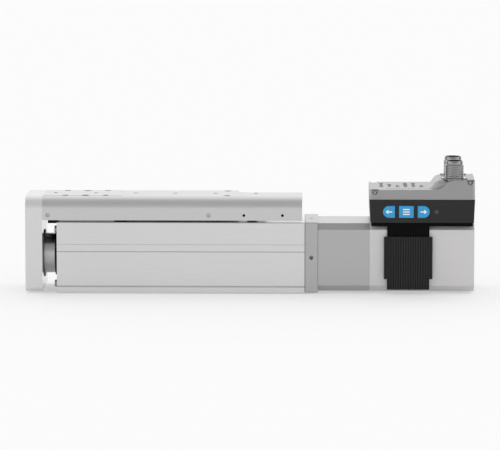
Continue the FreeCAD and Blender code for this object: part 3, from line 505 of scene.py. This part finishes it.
def yoke_seats(node, places):
    """Seats in the yoke's front at places across it, at the middle height of the node's box."""
    low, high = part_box(node)
    middle = (low.z + high.z) / 2
    return [(facing((-1, 0, 0), Vector((low.x, y * MM, middle))), high.x - low.x) for y in places]


def flange_seats():
    """One set screw in the flange's front and one in its top."""
    low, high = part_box("flange_set_screws")
    x = (low.x + high.x) / 2
    front = facing((0, -1, 0), Vector((x, low.y, axis_height * MM)))
    top = facing((0, 0, 1), Vector((x, 0.0, high.z)))
    return [(place, set_screw_length * MM) for place in (front, top)]


def add_screws():
    screw_piece("cover_socket_screws", "cover_screws", "base", cover_screw, cover_seats())
    screw_piece("front_socket_screws", "front_screws", "base", front_screw,
                corner_seats("front_screws", front_screw, -1))
    screw_piece("motor_socket_screws", "motor_screws", "base", motor_screw,
                corner_seats("motor_screws", motor_screw, 1))
    screw_piece("yoke_socket_screws", "yoke_screws", "slide", yoke_screw,
                yoke_seats("yoke_screws", yoke_screw_places))
    screw_piece("rod_socket_screw", "rod_screw", "slide", rod_screw, yoke_seats("rod_screw", [0.0]))
    screw_piece("flange_socket_set_screws", "flange_set_screws", "base", set_screw, flange_seats(),
                core_steel)


# Round plugs with a fine thread
def add_thread(mesh, place, first, start, top):
    """Carries on from a first ring with a screw thread from start to top. Returns the last ring."""
    steps = int(thread_steps * thread_run / thread_pitch)
    last = first
    for k in range(steps + 1):
        height = start + (top - start) * k / steps
        fade = min(1.0, k / thread_fade_steps, (steps - k) / thread_fade_steps)
        points = []
        for i, turn in enumerate(turns_round(plug_segments)):
            wave = (height / (thread_pitch * MM) - i / plug_segments) % 1.0
            groove = abs(2.0 * wave - 1.0)
            radius = (plug_radius - thread_depth * groove * fade) * MM
            points.append(place @ round_point(radius, turn, height))
        ring = ring_of_points(mesh, points)
        bridge(mesh, last, ring)
        last = ring
    return last


def threaded_shell(mesh, place, low, high):
    """Shell from low to high about an upright axis, with a screw thread between its neck and its collar."""
    outer = plug_radius * MM
    bore = bore_radius * MM
    neck = neck_radius * MM
    seat = low + neck_length * MM
    edge = plug_edge * MM
    foot = turned(mesh, [(bore, low), (neck, low), (neck, seat), (outer - edge, seat),
                         (outer, seat + edge)], place, plug_segments)
    start = high - collar_length * MM
    thread_top = start - thread_top_gap * MM
    last = add_thread(mesh, place, foot[-1], thread_top - thread_run * MM, thread_top)
    collar = collar_radius * MM
    groove = collar - groove_depth * MM
    rim = collar_edge * MM
    head = turned(mesh, [(outer, start - edge), (outer - plug_shoulder * MM, start), (groove, start),
                         (groove, start + groove_height * MM), (collar, start + groove_end * MM),
                         (collar, high - rim), (collar - rim, high), (bore, high)], place, plug_segments)
    bridge(mesh, last, head[0])
    bridge(mesh, head[-1], foot[0])


def add_plugs():
    low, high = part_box("plug_shells")
    x = (low.x + high.x) / 2
    mesh = bmesh.new()
    for y in (low.y + plug_radius * MM, high.y - plug_radius * MM):
        threaded_shell(mesh, Matrix.Translation((x, y, 0.0)), low.z, high.z)
    piece = finished("threaded_plug_shells", mesh, plug_nickel, "base")
    smooth_by_angle(piece, plug_smooth_angle)
    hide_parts("plug_shells")


# Keys with rounded edges and printed symbols
def key_outline(x0, x1, z0, z1, round_end):
    """Rectangle whose left or right end may be a half circle."""
    half = (z1 - z0) / 2
    middle = (z0 + z1) / 2
    turns = [math.pi * i / key_arc_steps for i in range(key_arc_steps + 1)]
    if round_end == "left":
        centre = x0 + half
        arc = [(centre - half * math.sin(turn), middle + half * math.cos(turn)) for turn in turns]
        return arc + [(x1, z0), (x1, z1)]
    if round_end == "right":
        centre = x1 - half
        arc = [(centre + half * math.sin(turn), middle - half * math.cos(turn)) for turn in turns]
        return arc + [(x0, z1), (x0, z0)]
    return [(x0, z0), (x1, z0), (x1, z1), (x0, z1)]


def arrow_outline(x, z, way):
    """Line arrow in one outline: a shaft that ends in an open head."""
    line = symbol_line * MM
    reach = arrow_reach * MM
    run = arrow_head_run * MM
    lift = arrow_head_lift * MM
    slope = math.hypot(run, lift)
    inner_lift = lift - line * run / slope
    inner_end = reach - run - line * lift / slope
    joint = inner_end + (inner_lift - line / 2) * run / lift
    upper = [(reach, 0.0), (reach - run, lift), (inner_end, inner_lift), (joint, line / 2),
             (-reach, line / 2)]
    lower = [(along, -rise) for along, rise in reversed(upper[1:])]
    return [(x + way * along, z + rise) for along, rise in upper + lower]


def menu_outlines(x, z):
    """Three level bars, one above the other."""
    line = symbol_line * MM
    return [bar_outline(x, menu_bar_length * MM, z + step * menu_bar_pitch * MM - line / 2, line)
            for step in (-1, 0, 1)]


def symbol_outlines(x, z, round_end):
    """An arrow towards a key's round end, or bars on a key without one."""
    if round_end == "left":
        return [arrow_outline(x, z, -1)]
    if round_end == "right":
        return [arrow_outline(x, z, 1)]
    return menu_outlines(x, z)


def round_key_edges(piece):
    rounding = piece.modifiers.new("rounding", "BEVEL")
    rounding.width = key_edge * MM
    rounding.segments = key_edge_segments
    rounding.limit_method = "ANGLE"


def add_key(node, round_end):
    """A cap that stands for the key's node, and the symbol printed on it."""
    low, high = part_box(node)
    rim = key_flange * MM
    x0, x1 = low.x + rim, high.x - rim
    z0, z1 = low.z + rim, high.z - rim
    face = low.y + key_face_drop * MM
    mesh = bmesh.new()
    plate_facing_front(mesh, key_outline(x0, x1, z0, z1, round_end), face, high.y)
    piece = finished(node + "_cap", mesh, key_plastic, node)
    round_key_edges(piece)
    smooth_by_angle(piece)
    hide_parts(node)
    marks = bmesh.new()
    for outline in symbol_outlines((x0 + x1) / 2, (z0 + z1) / 2, round_end):
        plate_facing_front(marks, outline, low.y, face + symbol_depth * MM)
    finished(node + "_symbol", marks, symbol_print, node)


def add_keys():
    add_key("key_left", "left")
    add_key("key_middle", "none")
    add_key("key_right", "right")


# Printed marks on the cover's low deck
def add_deck_marks():
    """Six columns of level bars across the deck and a row of dashes along its front edge."""
    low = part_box("control_cover")[0]
    deck = low.z + deck_rise * MM
    top = deck + print_height * MM
    bottom = deck - print_height * MM
    levels = bmesh.new()
    for i, widths in enumerate(level_widths):
        x = low.x + (level_first + i * level_pitch) * MM
        for k, width in enumerate(widths):
            front = (level_front + k * level_bar_pitch) * MM
            plate_lying_flat(levels, bar_outline(x, width * MM, front, level_bar_length * MM), top, bottom)
    finished("deck_level_bars", levels, dark_print, "base")
    dashes = bmesh.new()
    for i in range(dash_count):
        x = low.x + (level_first + dash_offset + i * dash_pitch) * MM
        dash = bar_outline(x, dash_length * MM, dash_front * MM, dash_depth * MM)
        plate_lying_flat(dashes, dash, top, bottom)
    finished("deck_dashes", dashes, pale_print, "base")


# Painted shade: black sleeves inside the two open holes in the table's side, where shade falls
def add_painted_hole_shade():
    low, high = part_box("slide_table")
    outer = (side_hole_radius - shade_sleeve_play) * MM
    inner = (side_hole_radius - shade_sleeve_wall) * MM
    mouth = -shade_sleeve_sink * MM
    floor = -shade_sleeve_depth * MM
    profile = [(outer, floor), (outer, mouth), (inner, mouth), (inner, shade_sleeve_floor_share * floor)]
    mesh = bmesh.new()
    for from_end in side_holes_from_end:
        place = Vector((high.x - from_end * MM, low.y, low.z + side_hole_rise * MM))
        rings = turned(mesh, profile, facing((0, -1, 0), place), shade_sleeve_segments)
        mesh.faces.new(list(reversed(rings[0])))
        mesh.faces.new(rings[-1])
    piece = finished("side_hole_painted_shade", mesh, painted_hole_shade, "slide")
    smooth_by_angle(piece)


# Floor, light and camera
def show_white(tree, shader):
    """Mixes plain white into a surface for the camera and in reflections, and leaves its shadow."""
    rays = tree.nodes.new("ShaderNodeLightPath")
    seen = combined(tree, "ADD", rays.outputs["Is Camera Ray"], rays.outputs["Is Glossy Ray"])
    seen = combined(tree, "ADD", seen, rays.outputs["Is Transmission Ray"])
    share = tree.nodes.new("ShaderNodeMath")
    share.operation = "MULTIPLY"
    share.inputs[1].default_value = white_share
    white = tree.nodes.new("ShaderNodeEmission")
    mix = tree.nodes.new("ShaderNodeMixShader")
    tree.links.new(seen, share.inputs[0])
    tree.links.new(share.outputs["Value"], mix.inputs["Fac"])
    tree.links.new(shader.outputs["BSDF"], mix.inputs[1])
    tree.links.new(white.outputs["Emission"], mix.inputs[2])
    tree.links.new(mix.outputs["Shader"], tree.nodes["Material Output"].inputs["Surface"])


def floor_paper():
    material, tree, shader = new_material("floor_paper")
    low, high = floor_greys
    grain = object_noise(tree, floor_grain, even)
    tree.links.new(grain_colour(tree, grain, grey(low), grey(high)), shader.inputs["Base Color"])
    shader.inputs["Roughness"].default_value = floor_rough
    shader.inputs["Specular IOR Level"].default_value = 0.0
    show_white(tree, shader)
    return material


def add_floor():
    mesh = bmesh.new()
    corners = bar_outline(0.0, 2 * floor_half, -floor_half, 2 * floor_half)
    mesh.faces.new(ring_of_points(mesh, [(x, y, 0.0) for x, y in corners]))
    floor = new_object("floor", new_mesh("floor", mesh, floor_paper()))
    floor.location.z = -floor_drop


def patch_in_front(tree, direction):
    """Level of the light by its direction, lower in a patch high up in front."""
    across = tree.nodes.new("ShaderNodeVectorMath")
    across.operation = "DOT_PRODUCT"
    across.inputs[1].default_value = patch_direction
    tree.links.new(direction, across.inputs[0])
    return spread(tree, across.outputs["Value"], patch_window, studio_level, patch_level, "SMOOTHSTEP")


def low_sides(tree, direction):
    """Share of the light by its direction, smaller on both low sides a little behind."""
    parts = tree.nodes.new("ShaderNodeSeparateXYZ")
    tree.links.new(direction, parts.inputs["Vector"])
    sides = tree.nodes.new("ShaderNodeValToRGB")
    sides.color_ramp.interpolation = "EASE"
    for element, position in zip(sides.color_ramp.elements, sides_outer):
        element.position = position
        element.color = (*grey(1.0), 1.0)
    for position in sides_inner:
        element = sides.color_ramp.elements.new(position)
        element.color = (*grey(sides_share), 1.0)
    fade = tree.nodes.new("ShaderNodeMix")
    fade.data_type = "FLOAT"
    fade.inputs["B"].default_value = 1.0
    rise = spread(tree, parts.outputs["Z"], sides_top, 0.0, 1.0, "SMOOTHSTEP")
    tree.links.new(parts.outputs["Y"], sides.inputs["Fac"])
    tree.links.new(rise, fade.inputs["Factor"])
    tree.links.new(sides.outputs["Color"], fade.inputs["A"])
    return fade.outputs["Result"]


def add_light():
    """A bright studio all round, with a darker patch high up in front and darker low sides."""
    world = bpy.data.worlds.new("studio")
    bpy.context.scene.world = world
    world.use_nodes = True
    tree = world.node_tree
    direction = tree.nodes.new("ShaderNodeTexCoord").outputs["Generated"]
    light = combined(tree, "MULTIPLY", patch_in_front(tree, direction), low_sides(tree, direction))
    tree.links.new(light, tree.nodes["Background"].inputs["Color"])


def add_camera():
    data = bpy.data.cameras.new("camera")
    data.sensor_fit = "HORIZONTAL"
    data.sensor_width = sensor_mm
    data.lens = focal_px * sensor_mm / frame_width_px
    data.clip_end = camera_reach
    camera = new_object("camera", data)
    camera.location = camera_place
    camera.rotation_euler = (camera_pitch, 0.0, camera_yaw)
    bpy.context.scene.camera = camera


add_screws()
add_plugs()
add_keys()
add_deck_marks()
add_painted_hole_shade()
add_floor()
add_light()
add_camera()
bpy.context.scene.view_settings.view_transform = "Standard"
